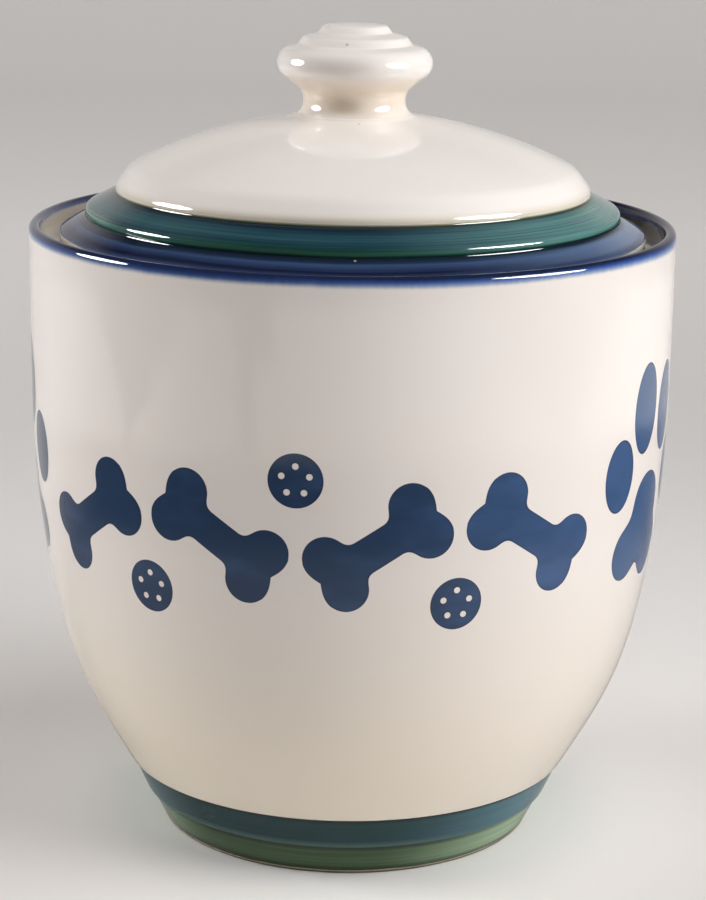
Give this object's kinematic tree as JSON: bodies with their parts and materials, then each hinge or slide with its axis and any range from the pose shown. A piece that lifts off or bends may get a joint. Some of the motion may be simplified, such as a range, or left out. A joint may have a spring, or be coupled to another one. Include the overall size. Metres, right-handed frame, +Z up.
{
  "type": "biscuit jar",
  "caption": "Lidded stoneware jar: upright wall drawing in to a turned foot, a gallery ledge inside the rim, and a stepped domed lid with a waisted knob.",
  "frame": {"origin": "middle of the foot ring, on the surface that the jar stands on", "axes": "+Z up along the jar's axis; the decorated front faces -Y, and +X is to its right as seen from the front"},
  "size_m": [0.1906, 0.1906, 0.2414],
  "materials": {
    "jar_glaze": "gloss cream glaze with a blue rim and foot",
    "lid_glaze": "gloss cream glaze over blue steps",
    "knob_glaze": "gloss cream glaze"
  },
  "bodies": {
    "jar": {"jar_body": "jar_glaze"},
    "lid": {"lid": "lid_glaze", "knob": "knob_glaze"}
  },
  "joints": [
    {"name": "lid_lift", "type": "slide", "parent": "jar", "child": "lid", "axis": [0, 0, 1], "range_m": [0, 0.08]}
  ]
}
